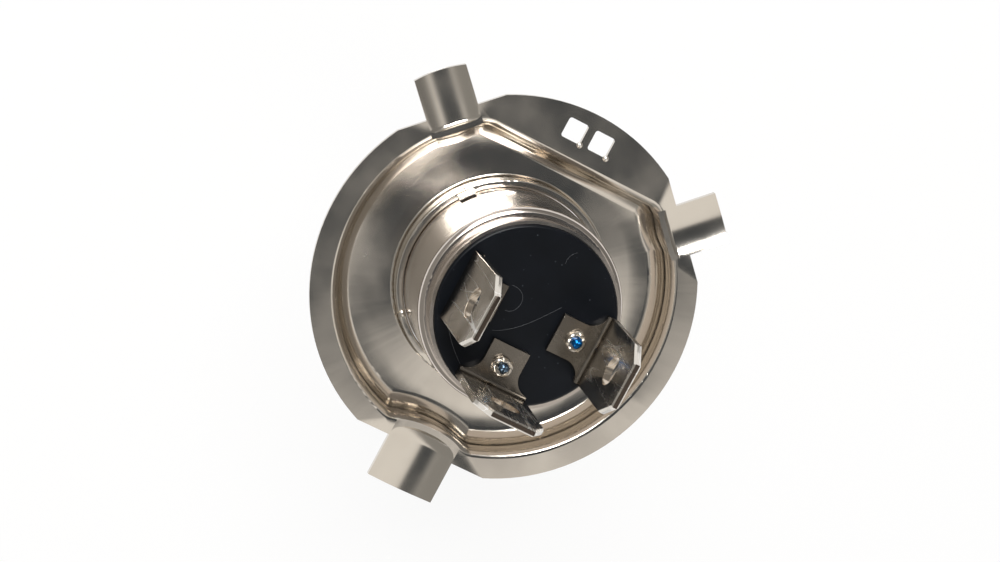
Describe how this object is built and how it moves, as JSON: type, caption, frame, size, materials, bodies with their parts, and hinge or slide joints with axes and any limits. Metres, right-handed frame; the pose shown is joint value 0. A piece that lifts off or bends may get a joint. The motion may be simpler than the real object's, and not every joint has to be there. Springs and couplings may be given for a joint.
{
  "type": "halogen headlight bulb",
  "caption": "Halogen headlight bulb with a lugged prefocus ring, a black insulator with blade terminals and a clear quartz burner holding dipped and main filaments.",
  "frame": {"origin": "centre of the rim's front face, on the lamp axis", "axes": "+Z along the lamp axis to the terminals, -Z to the glass tip, +Y to the wide reference lug"},
  "size_m": [0.043, 0.0468, 0.0832],
  "materials": {
    "ring_steel": "nickel plated, stamped",
    "sleeve_steel": "nickel plated, drawn",
    "insulator": "matt black moulding",
    "terminal_steel": "plated sheet with fine scratches",
    "eyelet": "flared and welded",
    "lead_wire": "heat tinted at the weld",
    "holder_steel": "bright sheet",
    "quartz": "clear",
    "black_coating": "matt black",
    "molybdenum": "drawn",
    "tungsten": "coiled"
  },
  "bodies": {
    "root": {"focus_ring": "ring_steel", "base_sleeve": "sleeve_steel", "insulator": "insulator", "main_beam_terminal": "terminal_steel", "dipped_beam_terminal": "terminal_steel", "earth_terminal": "terminal_steel", "main_beam_eyelet": "eyelet", "dipped_beam_eyelet": "eyelet", "earth_eyelet": "eyelet", "main_beam_lead": "lead_wire", "dipped_beam_lead": "lead_wire", "earth_lead": "lead_wire", "burner_holder": "holder_steel", "glass_envelope": "quartz", "tip_coating": "black_coating", "main_beam_foil": "molybdenum", "dipped_beam_foil": "molybdenum", "earth_foil": "molybdenum", "main_beam_support": "molybdenum", "dipped_beam_support": "molybdenum", "earth_support": "molybdenum", "filament_link": "molybdenum", "dipper_shield": "molybdenum", "main_filament": "tungsten", "dipped_filament": "tungsten"}
  },
  "joints": []
}
